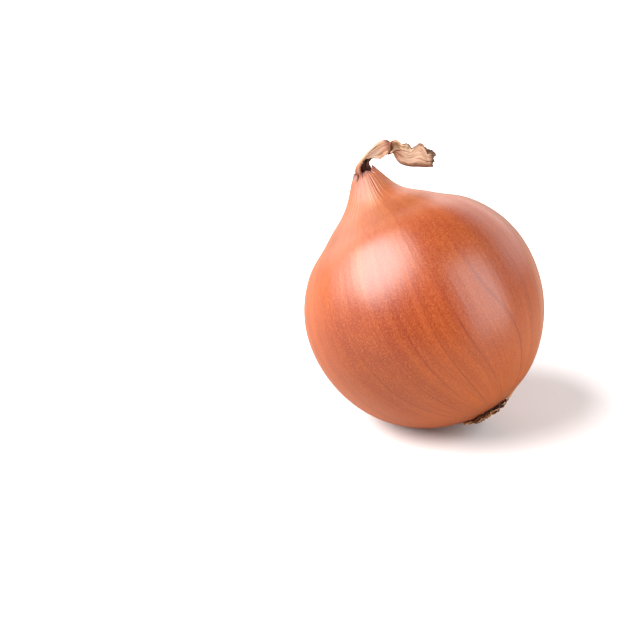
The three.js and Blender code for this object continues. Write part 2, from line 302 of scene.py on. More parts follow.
def shaped(ring, turn, drift=0.0, relief=1.0):
    """A ring with the relief, the bend of the neck and the ragged lip."""
    height = ring[:, 2].copy()
    around = np.arctan2(ring[:, 1], ring[:, 0])
    flat_radius = np.maximum(np.hypot(ring[:, 0], ring[:, 1]), 1e-6)
    fine = fine_relief(turn, height, drift) / flat_radius * smoothstep(flat_radius, 0.5, 4)
    swell = 1 + broad_relief(around, height) + relief * fine
    out = ring.copy()
    lip_share = smoothstep(height, CUP_FLOOR + 1, 50)
    drawn_in = LIP_DRAWN_IN * lip_share * np.maximum(0, -np.cos(turn))
    out[:, 0] = ring[:, 0] * swell + NECK_BEND * smoothstep(height, 37, 50) + drawn_in
    out[:, 1] = ring[:, 1] * swell
    out[:, 2] = height + lip_share * lip_height(turn)
    return out


lip_span = float(np.ptp(lip_height(once_round)))
print("the lip is uneven by", round(lip_span, 1), "mm, with its crack")

# %% [markdown]
# ## The loose flake
# Beside the roots a scrap of the dry skin has come loose and stands off a little. It could be
# cut from the skin, but a thin sheet that starts just under the surface and lifts towards its
# torn end looks the same, and leaves the skin whole.

# %% The loose flake
FLAKE_START = 159.0
FLAKE_HALF_TURN = 0.42
FLAKE_LIFT = 1.0
FLAKE_SINK = -0.1
FLAKE_THICKNESS = 0.16
FLAKE_ROWS = 16
FLAKE_COLUMNS = 30
edge_tears = Ripple(22, [6, 11, 17, 26, 39, 61])


def loose_flake():
    """A scrap of skin that has come loose beside the root: its points, angles and turns."""
    turn = np.linspace(-FLAKE_HALF_TURN, FLAKE_HALF_TURN, FLAKE_COLUMNS)
    sides = np.cos(turn / FLAKE_HALF_TURN * math.pi / 2)
    rows = []
    for share in np.linspace(0, 1, FLAKE_ROWS):
        degrees = FLAKE_START + share * (ROOT_EDGE_ANGLE - FLAKE_START)
        ring = shaped(skin_ring(float(degrees), turn), turn)
        ragged = 0.35 * share**2 * edge_tears(7 * turn)
        lift = FLAKE_SINK + (FLAKE_LIFT + FLAKE_SINK) * share**1.5 * (0.35 + 0.65 * sides) + ragged
        rows.append(ring * (1 + lift / BODY_RADIUS)[:, None])
    front = np.concatenate(rows)
    back = front * (1 - FLAKE_THICKNESS / BODY_RADIUS)
    degrees = np.repeat(np.linspace(FLAKE_START, ROOT_EDGE_ANGLE, FLAKE_ROWS), FLAKE_COLUMNS)
    return np.concatenate([front, back]), np.tile(degrees, 2), np.tile(turn, FLAKE_ROWS * 2)


print("the flake has", len(loose_flake()[0]), "points")

# %% [markdown]
# ## The skin as one surface
# The rings start at the floor of the cup inside the neck, go over the lip and down the outside,
# and turn in behind the edge at the roots, so no open edge shows anywhere. What the material
# needs, such as the waves that its veins follow, is worked out for each point of the same rings.

# %% Rings from the cup to the roots
CUP_RADIUS = 3.3
LIP_THICKNESS = 0.32
HEM_THICKNESS = 0.35
EDGE_LIFT_START = 162
RECESS_ANGLE = 170.0
RECESS_RADIUS = 7.9
RECESS_FLOOR = -37.8
# The first and the last ring of a surface are this small, in place of a single point.
NEARLY_A_POINT = 0.02
# Radius and height of the rings behind the edge of the skin, where the root plate sits.
RECESS_RINGS = [
    (RECESS_RADIUS - 0.1, RECESS_FLOOR - 0.6),
    (RECESS_RADIUS - 0.2, RECESS_FLOOR),
    (5.0, RECESS_FLOOR),
    (NEARLY_A_POINT, RECESS_FLOOR),
]


def flat_ring(radius, height, turn):
    return np.stack([radius * np.cos(turn), radius * np.sin(turn), np.full_like(turn, height)], -1)


def cup_rings():
    """Radius and height of the rings inside the neck, from the middle of its floor to the lip."""
    lip_angle = math.radians(NECK_TOP_ANGLE)
    lip_reach = float(outline_radius(NECK_TOP_ANGLE))
    lip_top = lip_reach * math.cos(lip_angle)
    inside = lip_reach * math.sin(lip_angle) - LIP_THICKNESS
    return [
        (NEARLY_A_POINT, CUP_FLOOR),
        (CUP_RADIUS / 2 - 0.05, CUP_FLOOR + 0.05),
        (CUP_RADIUS - 0.25, CUP_FLOOR + 0.3),
        (CUP_RADIUS - 0.1, CUP_FLOOR + 1.0),
        (CUP_RADIUS, CUP_FLOOR + 1.8),
        (inside - 0.15, CUP_FLOOR + 2.6),
        (inside, lip_top),
        (inside + 0.1, lip_top + 0.22),
    ]


def body_ring(degrees, turn):
    """One ring of the finished outer skin, whose edge lifts a little round the roots."""
    drift = 0.9 * math.sin(math.radians(degrees) * 1.3)
    ring = shaped(skin_ring(degrees, turn), turn, drift)
    edge = float(smoothstep(degrees, EDGE_LIFT_START, ROOT_EDGE_ANGLE))
    lift = edge * (0.12 + 0.16 * edge_tears(turn))
    return ring + unit(ring) * lift[:, None]


def skin_rings(turn):
    """All rings of the skin, each with its angle from the neck and its share of inner side."""
    rings = []
    for radius, height in cup_rings():
        rings.append((shaped(flat_ring(radius, height, turn), turn, relief=0.5), 0.0, 1.0))
    for degrees in outer_rows():
        rings.append((body_ring(float(degrees), turn), float(degrees), 0.0))
    hem = rings[-1][0] * (1 - HEM_THICKNESS / BODY_RADIUS)
    rings.append((hem, ROOT_EDGE_ANGLE, 0.6))
    for radius, height in RECESS_RINGS:
        rings.append((flat_ring(radius, height, turn) @ ROOT_TURN.T, RECESS_ANGLE, 1.0))
    return rings


print("from the cup to the roots there are", len(skin_rings(once_round)), "rings")

# %% The whole skin
VEIN_COUNT = 13
PLEAT_LINE_COUNT = 33


def skin_attributes(degrees, turns, inner, flake_share):
    """What the material needs to know at each point: its place along the fibres and its waves."""
    angle = np.radians(degrees)
    twist = 0.10 * np.sin(angle * 1.1) + 0.03 * np.sin(angle * 3 + 2 * turns)
    vein_phase = VEIN_COUNT * (turns + twist) + 1.1 * np.sin(3 * turns + 0.5)
    vein_phase = vein_phase + 0.8 * np.sin(5 * turns + angle)
    pleat_phase = PLEAT_LINE_COUNT * turns + 1.4 * np.sin(4 * turns) + 0.9 * np.sin(7 * turns + 1)
    place = BODY_RADIUS * np.stack([np.cos(turns + twist), np.sin(turns + twist), angle], -1)
    return {
        "fibre_place": place,
        "vein_wave": np.sin(vein_phase),
        "pleat_wave": np.sin(pleat_phase),
        "neck_angle": degrees,
        "inner_side": inner,
        "flake_share": flake_share,
    }


def make_skin():
    turn = np.linspace(0, 2 * math.pi, SKIN_COLUMNS, endpoint=False)
    rings, ring_degrees, ring_inner = zip(*skin_rings(turn))
    flake, flake_degrees, flake_turns = loose_flake()
    whole = len(rings) * SKIN_COLUMNS
    points = laid_down(np.concatenate([*rings, flake]))
    points[:, 2] = np.maximum(points[:, 2], 0.0)
    degrees = np.append(np.repeat(ring_degrees, SKIN_COLUMNS), flake_degrees)
    inner = np.append(np.repeat(ring_inner, SKIN_COLUMNS), np.zeros(len(flake)))
    turns = np.append(np.tile(turn, len(rings)), flake_turns)
    flake_share = np.zeros(len(points))
    flake_share[whole:] = smoothstep(flake_degrees, FLAKE_START, ROOT_EDGE_ANGLE - 4)
    attributes = skin_attributes(degrees, turns, inner, flake_share)
    faces = np.concatenate([
        grid_faces(len(rings), SKIN_COLUMNS, wrap=True),
        sheet_faces(FLAKE_ROWS, FLAKE_COLUMNS, first=whole),
    ])
    return make_piece("onion_skin", points, faces, attributes, "bulb")


skin = make_skin()

# %% [markdown]
# ## The withered ribbon
# Above the pinched neck the dead leaves shrink to one folded, twisted strip. It is drawn as a
# sheet: stations along it say where its fold and its two free edges are, smooth curves join
# the stations, and the sheet gets the thickness of paper. A tube would have no dark inside.

# %% Stations of the ribbon
# Each row: middle x, y, z; how far the fold and the sheet's first and last edge reach from it;
# half the space between the walls; roll of the fold in degrees. The first edge is the near one
# up to the turn, and the last edge is the near one after it. The solid's strip has the same
# middle, and reaches within a millimetre as far, but for the last edge's peak after the turn,
# which is 2.2 mm lower there.
STATIONS = np.array([
    [1.3, 0, 47.4, 2.3, 0.6, 1.5, 1.9, 0],
    [1.8, 0, 51.0, 2.45, -0.9, 3.1, 1.3, 0],
    [3.1, 0.1, 53.1, 1.35, -0.3, 2.4, 0.8, 0],
    [5.9, 0.2, 54.6, 1.05, 1.3, 1.6, 0.7, 0],
    [9.5, 0.2, 54.5, 2.45, 2.7, 1.9, 0.8, 0],
    [12.4, 0.1, 54.2, 2.85, 2.7, 1.9, 1.1, 16],
    [14.4, 0, 53.3, 1.0, 0.8, 0.8, 2.2, 92],
    [15.6, -0.4, 51.0, 2.3, 3.4, 1.2, 1.4, 160],
    [16.7, -0.6, 49.2, 2.95, 3.8, 1.3, 1.3, 180],
    [18.3, -0.6, 47.7, 2.95, 3.6, 2.0, 1.3, 184],
    [20.6, -0.6, 46.3, 2.8, 4.6, 4.8, 1.45, 184],
    [23.0, -0.5, 44.7, 2.6, 3.7, 1.9, 1.35, 182],
    [24.6, -0.4, 43.7, 2.2, 2.3, 2.1, 1.15, 180],
])


def curve_through(stations, along):
    """A centripetal Catmull-Rom curve, the same kind that the solid is swept on."""
    last = len(stations) - 1
    place = np.clip(along, 0, 1) * last
    piece = np.minimum(place.astype(int), last - 1)
    weight = (place - piece)[:, None]
    first = 2 * stations[0] - stations[1]
    end = 2 * stations[-1] - stations[-2]
    padded = np.vstack([first, stations, end])
    p0, p1, p2, p3 = (padded[piece + k] for k in range(4))

    def step(a, b):
        return np.maximum(np.linalg.norm(b - a, axis=1, keepdims=True) ** 0.5, 1e-4)

    d0, d1, d2 = step(p0, p1), step(p1, p2), step(p2, p3)
    t1 = ((p1 - p0) / d0 - (p2 - p0) / (d0 + d1) + (p2 - p1) / d1) * d1
    t2 = ((p2 - p1) / d1 - (p3 - p1) / (d1 + d2) + (p3 - p2) / d2) * d1
    c2 = -3 * p1 + 3 * p2 - 2 * t1 - t2
    c3 = 2 * p1 - 2 * p2 + t1 + t2
    return p1 + t1 * weight + c2 * weight**2 + c3 * weight**3


print("the ribbon has", len(STATIONS), "stations")

# %% The ribbon's sheet
LEAF_ROWS = 200
WALL_COLUMNS = 22
FOLD_COLUMNS = 14
# The waves across the sheet are counted in the 12 steps that the solid has across it.
SOLID_STEPS = 12


def leaf_axes(along, roll):
    """The directions at each place along the ribbon: ahead, out to its fold, and across it."""
    ahead = curve_through(STATIONS[:, :3], along + 1e-4) - curve_through(STATIONS[:, :3], along - 1e-4)
    tangent = unit(ahead)
    eye = np.array([0.0, -1.0, 0.0])
    toward = unit(eye - tangent * (tangent @ eye)[:, None])
    side = np.cross(toward, tangent)
    out = side * np.cos(roll) - toward * np.sin(roll)
    wall = toward * np.cos(roll) + side * np.sin(roll)
    return tangent, out, wall


def leaf_waves(row, step):
    """The waves of the free edges, the wrinkles of the walls, and the tear at the end."""
    edge = 0.18 * np.sin(37 * row) + 0.10 * np.sin(71 * row) + 0.09 * np.sin(190 * row)
    wrinkle = 1 + 0.12 * np.sin(1.9 * step + 5 * row) * np.sin(23 * row + 0.7 * step)
    tear = 0.6 * np.cos(0.26 * step) + 0.3 * np.sin(2.2 * step)
    tear = tear + 0.16 * np.sin(7.1 * step) + 0.1 * np.sin(15.3 * step + 1)
    return edge, wrinkle, smoothstep(row, 0.88, 1) * tear


def leaf_surface():
    """The sheet's middle surface as a grid of points, with each point's place along and across."""
    along = np.linspace(0, 1, LEAF_ROWS)
    middle = curve_through(STATIONS[:, :3], along)
    fold, first_edge, last_edge = np.hsplit(curve_through(STATIONS[:, 3:6], along), 3)
    measures = np.column_stack([STATIONS[:, 6], np.radians(STATIONS[:, 7]), 0 * STATIONS[:, 7]])
    space, roll, _ = np.hsplit(curve_through(measures, along), 3)
    tangent, out, wall = leaf_axes(along, roll)

    steps = WALL_COLUMNS * 2 + FOLD_COLUMNS
    across = np.arange(steps + 1)
    edge, wrinkle, tear = leaf_waves(along[:, None], SOLID_STEPS * across / steps)
    straight = fold - space
    first_share = np.clip((WALL_COLUMNS - across) / WALL_COLUMNS, 0, 1)
    last_share = np.clip((across - WALL_COLUMNS - FOLD_COLUMNS) / WALL_COLUMNS, 0, 1)
    fold_angle = np.pi * np.clip((across - WALL_COLUMNS) / FOLD_COLUMNS, 0, 1)
    outward = straight + space * np.sin(fold_angle)
    outward = outward + first_share * (edge - first_edge - straight)
    outward = outward + last_share * (edge - last_edge - straight)
    sideways = space * np.cos(fold_angle) * wrinkle
    points = middle[:, None, :]
    for direction, reach in ((out, outward), (wall, sideways), (tangent, tear)):
        points = points + direction[:, None, :] * reach[..., None]
    return points, along, across / steps


print("the sheet has", leaf_surface()[0].shape[:2], "points along and across")

# %% Creases and the thickness of paper
LEAF_THICKNESS = 0.34
LEAF_WIDTH = 14.0
leaf_creases = Ripple(31, [3, 5, 8, 13])
leaf_fibres = Ripple(32, [17, 23, 29, 37])


def grid_normals(points):
    down = np.gradient(points, axis=0)
    over = np.gradient(points, axis=1)
    return unit(np.cross(down, over))


def creased(points, along, across):
    """The sheet with lengthwise creases and fibres, which fade out inside the neck."""
    turn = across[None, :] * 2 * math.pi
    crease = 0.09 * leaf_creases(turn + 0.5 * along[:, None], 4 * along[:, None])
    fibre = 0.04 * leaf_fibres(turn, 2 * along[:, None])
    rise = smoothstep(along, 0.02, 0.12)[:, None]
    return points + grid_normals(points) * ((crease + fibre) * rise)[..., None]


def make_ribbon():
    points, along, across = leaf_surface()
    points = creased(points, along, across)
    half = grid_normals(points) * LEAF_THICKNESS / 2
    rows, columns = points.shape[:2]
    grid = np.concatenate([(points + half).reshape(-1, 3), (points - half).reshape(-1, 3)])
    middle = curve_through(STATIONS[:, :3], along)
    length = np.linalg.norm(np.diff(middle, axis=0), axis=1).sum()
    place = np.zeros((rows, columns, 3))
    place[..., 0] = along[:, None] * length
    place[..., 1] = across[None, :] * LEAF_WIDTH
    attributes = {
        "leaf_place": np.tile(place.reshape(-1, 3), (2, 1)),
        "leaf_along": np.tile(np.repeat(along, columns), 2),
        "leaf_inside": np.repeat([0.0, 1.0], rows * columns),
        "leaf_across": np.tile(across, 2 * rows),
    }
    print("the ribbon is", round(float(length), 1), "mm long")
    faces = sheet_faces(rows, columns)
    return make_piece("dried_ribbon", laid_down(grid), faces, attributes, "dried_neck")


ribbon = make_ribbon()

# %% [markdown]
# ## The roots
# Under the bulb sits a corky plate, and the dried roots lie on it in a matted tuft, cropped
# short. Each root is a bent, tapering tube of its own. A seeded draw places them by the golden
# angle, which spreads any number of points evenly over a disc.

# %% The root plate
PLATE_RADIUS = RECESS_RADIUS - 0.5
PLATE_BOTTOM = -40.5
PLATE_COLUMNS = 96
PLATE_ROUGHNESS = 0.12
# Radius and height of the plate's rings, from the middle of its top to the middle below.
PLATE_RINGS = [
    (NEARLY_A_POINT, -38.1),
    (PLATE_RADIUS - 0.2, -38.1),
    (PLATE_RADIUS, -38.8),
    (PLATE_RADIUS, -39.8),
    (PLATE_RADIUS - 0.4, -40.2),
    (PLATE_RADIUS * 0.75, -40.4),
    (PLATE_RADIUS * 0.4, PLATE_BOTTOM),
    (NEARLY_A_POINT, PLATE_BOTTOM),
]


def plate_points():
    turn = np.linspace(0, 2 * math.pi, PLATE_COLUMNS, endpoint=False)
    rough = Ripple(42, [7, 13, 19, 31])
    rings = []
    for radius, height in PLATE_RINGS:
        uneven = flat_ring(PLATE_ROUGHNESS, 0.0, turn) * rough(turn + height)[:, None]
        rings.append(flat_ring(radius, height, turn) + uneven)
    return np.concatenate(rings)


print("the root plate is", round(2 * PLATE_RADIUS, 1), "mm across")

# %% One root
ROOT_COUNT = 330
ROOT_SIDES = 6
ROOT_RINGS = 8
# The two quads that close a tube of six sides.
END_QUADS = np.array([[0, 1, 2, 3], [0, 3, 4, 5]])


def tube(path, radii):
    """The rings of a round tube along a path of points."""
    tangent = unit(np.gradient(path, axis=0))
    guide = np.array([0.0, 0.0, 1.0]) if abs(tangent[0][2]) < 0.8 else np.array([1.0, 0.0, 0.0])
    first = unit(np.cross(tangent, guide))[:, None, :]
    second = np.cross(tangent[:, None, :], first)
    angle = np.linspace(0, 2 * math.pi, ROOT_SIDES, endpoint=False)[None, :, None]
    rings = path[:, None, :] + radii[:, None, None] * (first * np.cos(angle) + second * np.sin(angle))
    return rings.reshape(-1, 3)


def root_tube(draw, path, t):
    thick = draw.uniform(0.17, 0.36)
    return tube(path, thick * (1 - 0.45 * t) * np.where(t == 1, 0.25, 1))


def matted_root(draw, index):
    """A short root that starts on the plate, bends away and lies flat in the mat."""
    reach = math.sqrt((index + 0.5) / ROOT_COUNT)
    turn = index * math.pi * (3 - math.sqrt(5))
    start = np.array([math.cos(turn), math.sin(turn), 0]) * (PLATE_RADIUS - 0.1) * reach
    start[2] = PLATE_BOTTOM + 0.9
    lean = turn + draw.normal(0, 1.2)
    length = draw.uniform(1.6, 3.6)
    flatness = 0.25 + 0.5 * reach + draw.uniform(-0.1, 0.3)
    curl = draw.uniform(-2.2, 2.2)
    t = np.linspace(0, 1, ROOT_RINGS)
    heading = lean + curl * t
    flat = np.minimum(flatness * (0.6 + t), 1.1)
    down = -np.sqrt(np.maximum(1.15 - flat**2, 0.02))
    moves = np.stack([np.cos(heading) * flat, np.sin(heading) * flat, down], -1)
    path = start + np.cumsum(moves, axis=0) * length / (ROOT_RINGS - 1)
    mat_radius = PLATE_RADIUS + 0.5
    radius = np.hypot(path[:, 0], path[:, 1])
    path[:, :2] *= np.minimum(1, mat_radius / np.maximum(radius, 1e-6))[:, None]
    radius = np.hypot(path[:, 0], path[:, 1])
    low = -42.2 + 1.4 * smoothstep(radius, 4.5, mat_radius) + 0.3 * draw.uniform()
    path[:, 2] = np.maximum(path[:, 2], low)
    return root_tube(draw, path, t)


def stray_root(draw):
    """A root that lies over the skin beside the plate, on the side under the body."""
    across = PLATE_RADIUS * draw.uniform(-0.62, 0.62)
    reach = draw.uniform(1.4, 3.4)
    t = np.linspace(0, 1, ROOT_RINGS)
    x = -(PLATE_RADIUS - 1.0 + reach * t)
    y = across * (1 + 0.3 * t) + draw.uniform(-0.8, 0.8) * np.sin(t * draw.uniform(2, 5))
    height = BODY_RADIUS + draw.uniform(0.4, 1.0)
    return root_tube(draw, np.stack([x, y, -np.sqrt(height**2 - x**2 - y**2)], -1), t)


def root_faces(first):
    """The quads of one root, with its two ends closed."""
    faces = [grid_faces(ROOT_RINGS, ROOT_SIDES, wrap=True, first=first)]
    rim = np.arange(ROOT_SIDES) + first
    faces.append(rim[::-1][END_QUADS])
    faces.append((rim + (ROOT_RINGS - 1) * ROOT_SIDES)[END_QUADS])
    return np.concatenate(faces)


print("one root has", len(root_faces(0)), "faces")

# %% The mat of roots
STRAY_COUNT = 34
LOWEST_ROOT = 0.25
# The plate's dark tone is painted shade under the roots.
PLATE_SHADED_TONE = 0.15


def make_roots():
    draw = np.random.default_rng(41)
    points = [plate_points()]
    faces = [grid_faces(len(PLATE_RINGS), PLATE_COLUMNS, wrap=True)]
    count = len(points[0])
    tones = [np.full(count, PLATE_SHADED_TONE)]
    for index in range(ROOT_COUNT + STRAY_COUNT):
        points.append(matted_root(draw, index) if index < ROOT_COUNT else stray_root(draw))
        faces.append(root_faces(count))
        # Each root's own tone, whose low end is painted shade in the mat; it darkens towards the plate as
        # painted shade.
        tone = np.clip(draw.normal(0.6, 0.32), 0.05, 1)
        tones.append(tone * np.repeat(np.linspace(0.55, 1.1, ROOT_RINGS), ROOT_SIDES))
        count += ROOT_RINGS * ROOT_SIDES
    placed = laid_down(np.concatenate(points) @ ROOT_TURN.T)
    placed[:, 2] = np.maximum(placed[:, 2], LOWEST_ROOT)
    attributes = {"root_tone_and_shade": np.concatenate(tones)}
    return make_piece("root_mat", placed, np.concatenate(faces), attributes, "root_tuft")


roots = make_roots()

# %% [markdown]
# ## Colour and nodes
# Colours are picked as sRGB hex values and turned to linear by one function. One small function
# adds a node with its settings and links. Most of what a finish needs after that is one step:
# mixing a shade in where a pattern, such as the streaks, is strong. That step is two short
# functions, so that a material reads as a list of what lies over what.

# %% Colours and nodes
COLOURS = {"data_type": "RGBA"}
TIMES = {"operation": "MULTIPLY"}
PLUS = {"operation": "ADD"}
WITHOUT_SIGN = {"operation": "ABSOLUTE"}


def linear(hex_code):
    """An sRGB hex colour as linear red, green, blue and alpha."""
    values = [int(hex_code[i : i + 2], 16) / 255 for i in (1, 3, 5)]
    return tuple(v / 12.92 if v <= 0.04045 else ((v + 0.055) / 1.055) ** 2.4 for v in values) + (1.0,)


def add_node(tree, kind, settings=None, inputs=None, output=0, stops=()):
    """Adds a node and gives one of its outputs. Inputs are values, or sockets to link; the
    stops are the (position, hex colour) pairs of a colour ramp."""
    made = tree.nodes.new(kind)
    for key, value in (settings or {}).items():
        setattr(made, key, value)
    for key, value in (inputs or {}).items():
        if isinstance(value, bpy.types.NodeSocket):
            tree.links.new(value, made.inputs[key])
        else:
            made.inputs[key].default_value = value
    while stops and len(made.color_ramp.elements) < len(stops):
        made.color_ramp.elements.new(0.5)
    for index, (position, shade) in enumerate(stops):
        made.color_ramp.elements[index].position = position
        made.color_ramp.elements[index].color = linear(shade)
    return made.outputs[output] if made.outputs else None


def faded(tree, share, pattern, levels, ends):
    """A share, times a number that goes from end to end as a pattern crosses its two levels."""
    number = add_node(tree, "ShaderNodeMapRange", inputs={
        "Value": pattern, "From Min": levels[0], "From Max": levels[1],
        "To Min": ends[0], "To Max": ends[1],
    })
    return add_node(tree, "ShaderNodeMath", TIMES, {0: share, 1: number})


def tinted(tree, under, shade, pattern, levels, ends, share=1.0):
    """A colour with a shade mixed in, by a share that a pattern fades."""
    amount = faded(tree, share, pattern, levels, ends)
    return add_node(tree, "ShaderNodeMix", COLOURS, {0: amount, 6: under, 7: linear(shade)}, 2)


def new_material(name):
    material = bpy.data.materials.new(name)
    material.use_nodes = True
    material.node_tree.nodes.clear()
    return material, material.node_tree


def finish_material(tree, inputs):
    """Ends a material with a Principled shader that has these inputs."""
    shader = add_node(tree, "ShaderNodeBsdfPrincipled", inputs=inputs)
    add_node(tree, "ShaderNodeOutputMaterial", inputs={"Surface": shader})


def millimetre_place(tree):
    """The point's place on the object in millimetres, the same in every view."""
    place = add_node(tree, "ShaderNodeTexCoord", output="Object")
    return add_node(tree, "ShaderNodeMapping", inputs={
        "Vector": place, "Scale": (1 / MM, 1 / MM, 1 / MM),
    })


print("white is", linear("#FFFFFF")[:3])

# %% [markdown]
# ## Dry onion skin
# Onion skin is a dead, dried leaf base: thin, smooth and a little waxy, so it has a soft satin
# gloss. Its copper brown comes in long streaks along the fibres, with darker veins about a
# centimetre apart, and fine specks. It is paler where it is pleated into the neck, and each
# pleat has a thin dark line, partly the brown of its fibres and partly painted shade in the
# crease. Inside the neck's cup, on the hem and behind it at the roots, the red-brown is painted
# shade, and the pale loose flake is a painted highlight.

# %% Skin values
FIBRE_MM = 0.9
STREAK_MM = 5.0
SPECK_MM = 0.4
BLOTCH_MM = 22.0
VEIN_PATCH_MM = 9.0
# Real specks are finer than the render can show, so they are drawn as coarse as they need to
# be. The patterns are drawn out along the fibres, where they keep only this share of their
# frequency.
ALONG_FIBRES = 0.04
ALONG_VEINS = 0.02
ALONG_SPECKS = 0.8
FIBRE_RELIEF = 0.08 * MM
SPECK_RELIEF = 0.05 * MM
VEIN_RELIEF_SHARE = 0.12
# Dry skin lies over thin layers of air and skin, which all reflect a little, so it mirrors
# more than its wax alone, with an IOR of 1.45, would.
SKIN_IOR = 1.65
# The shades from the neck, at 0, to the root end, at 1. The first shade, at 0, is the colour
# inside the neck's cup, and is painted shade.
SKIN_SHADES = [
    (0.00, "#6C3418"), (0.03, "#965434"), (0.06, "#9A5E3C"), (0.11, "#8E4C26"), (0.18, "#7C3C14"),
    (0.30, "#86340A"), (0.45, "#943808"), (0.66, "#A64608"), (0.84, "#B8580C"), (0.93, "#9A480E"),
]
# Soft patches of another shade: their turn and angle from the neck in degrees, their reach in
# millimetres, how strong they are, and their colour. The pale patch in front of the neck is a
# painted highlight. The dark patch at the crack in the lip is partly the red-brown of its torn
# strands and partly painted shade in the crack. The neck is orange at its right foot, and the
# bulb is a deeper brown high on its right. The deep brown low on its left is painted shade.
SKIN_PATCHES = [
    # A painted highlight on the front of the neck.
    (-95, 16.5, 5.5, 0.6, "#B48464"),
    # At the crack: red-brown strands and painted shade.
    (-128, 6.0, 2.2, 0.7, "#6A2408"),
    (-50, 17.0, 7.0, 0.65, "#9A4408"),
    (-53, 68.0, 23.0, 0.8, "#702202"),
    # Painted shade, low on the left of the bulb.
    (-130, 97.0, 36.0, 0.85, "#722202"),
]


# %% Skin colour
def patch_share(tree, fibre, turn, height, reach, strength):
    """How much of a patch there is at a place on the skin, fading out from its middle."""
    radius = BODY_RADIUS * math.sin(math.radians(height))
    narrowing = radius / BODY_RADIUS
    middle = (
        radius * math.cos(math.radians(turn)),
        radius * math.sin(math.radians(turn)),
        BODY_RADIUS * math.radians(height),
    )
    place = add_node(tree, "ShaderNodeMapping", inputs={
        "Vector": fibre, "Scale": (narrowing, narrowing, 1),
    })
    away = add_node(
        tree, "ShaderNodeVectorMath", {"operation": "DISTANCE"}, {0: place, 1: middle}, "Value"
    )
    return add_node(
        tree, "ShaderNodeMapRange", {"interpolation_type": "SMOOTHSTEP"},
        {"Value": away, "From Max": reach, "To Min": strength, "To Max": 0.0},
    )


def skin_patterns(tree):
    """The patterns that the colour and the relief of the skin share, by name."""
    fibre = add_node(tree, "ShaderNodeAttribute", {"attribute_name": "fibre_place"}, output="Vector")
    long = add_node(tree, "ShaderNodeMapping", inputs={"Vector": fibre, "Scale": (1, 1, ALONG_FIBRES)})
    longest = add_node(tree, "ShaderNodeMapping", inputs={"Vector": fibre, "Scale": (1, 1, ALONG_VEINS)})
    short = add_node(tree, "ShaderNodeMapping", inputs={"Vector": fibre, "Scale": (1, 1, ALONG_SPECKS)})
    grains = {
        "streaks": (long, STREAK_MM, 3.0, 0.6),
        "fibres": (long, FIBRE_MM, 5.0, 0.65),
        "blotches": (millimetre_place(tree), BLOTCH_MM, 2.0, 0.5),
        "specks": (short, SPECK_MM, 3.0, 0.6),
        "vein_patches": (longest, VEIN_PATCH_MM, 2.0, 0.55),
    }
    patterns = {"fibre": fibre}
    for name, (place, size, detail, rough) in grains.items():
        patterns[name] = add_node(tree, "ShaderNodeTexNoise", inputs={
            "Vector": place, "Scale": 1 / size, "Detail": detail, "Roughness": rough,
        })
    for name in ("neck_angle", "inner_side", "vein_wave", "pleat_wave", "flake_share"):
        patterns[name] = add_node(tree, "ShaderNodeAttribute", {"attribute_name": name}, output="Fac")
    for name in ("vein_wave", "pleat_wave"):
        patterns[name] = add_node(tree, "ShaderNodeMath", WITHOUT_SIGN, {0: patterns[name]})
    return patterns


def vein_share(tree, patterns):
    """The veins: thin where the wave crosses zero, broken up, and weak near the neck."""
    share = faded(tree, 1.0, patterns["vein_wave"], (0.0, 0.15), (1, 0))
    share = faded(tree, share, patterns["vein_patches"], (0.38, 0.58), (0.25, 1))
    return faded(tree, share, patterns["neck_angle"], (55, 105), (0.1, 1))


def skin_colour(tree, patterns, vein):
    angle = patterns["neck_angle"]
    height = add_node(tree, "ShaderNodeMath", {"operation": "DIVIDE"}, {0: angle, 1: 180.0})
    colour = add_node(tree, "ShaderNodeValToRGB", inputs={"Fac": height}, stops=SKIN_SHADES)
    for turn, degrees, reach, strength, shade in SKIN_PATCHES:
        share = patch_share(tree, patterns["fibre"], turn, degrees, reach, strength)
        colour = tinted(tree, colour, shade, share, (0, 1), (0, 1))
    colour = tinted(tree, colour, "#B45A1E", patterns["streaks"], (0.45, 0.70), (0, 0.35))
    colour = tinted(tree, colour, "#862C06", patterns["streaks"], (0.30, 0.48), (0.35, 0))
    colour = tinted(tree, colour, "#A8500E", patterns["blotches"], (0.42, 0.68), (0, 0.35))
    colour = tinted(tree, colour, "#7A2A06", patterns["fibres"], (0.35, 0.60), (0.35, 0))
    colour = tinted(tree, colour, "#CC8046", patterns["specks"], (0.50, 0.68), (0, 0.27))
    colour = tinted(tree, colour, "#601E06", patterns["specks"], (0.34, 0.49), (0.30, 0))
    colour = tinted(tree, colour, "#701A02", vein, (0, 1), (0, 0.85))
    # Thin dark lines down the neck, one to each pleat: partly the brown of the fibres, partly painted shade
    # in the creases.
    pleat_crease_shade = faded(tree, 1.0, patterns["pleat_wave"], (0.05, 0.60), (1, 0))
    pleat_crease_shade = faded(tree, pleat_crease_shade, patterns["streaks"], (0.35, 0.50), (0.4, 1))
    colour = tinted(tree, colour, "#5A240C", angle, (12, 24), (1, 0), pleat_crease_shade)
    colour = tinted(tree, colour, "#5E220A", angle, (NECK_TOP_ANGLE, NECK_TOP_ANGLE + 1.4), (0.85, 0))
    # Painted shade: inside the neck's cup, on the hem and behind it at the roots, the skin is darkened to
    # red-brown.
    colour = tinted(tree, colour, "#5A1E0A", patterns["inner_side"], (0, 1), (0, 1))
    # The loose flake is painted a pale tan, a painted highlight.
    return tinted(tree, colour, "#C89C78", patterns["flake_share"], (0, 1), (0, 1))


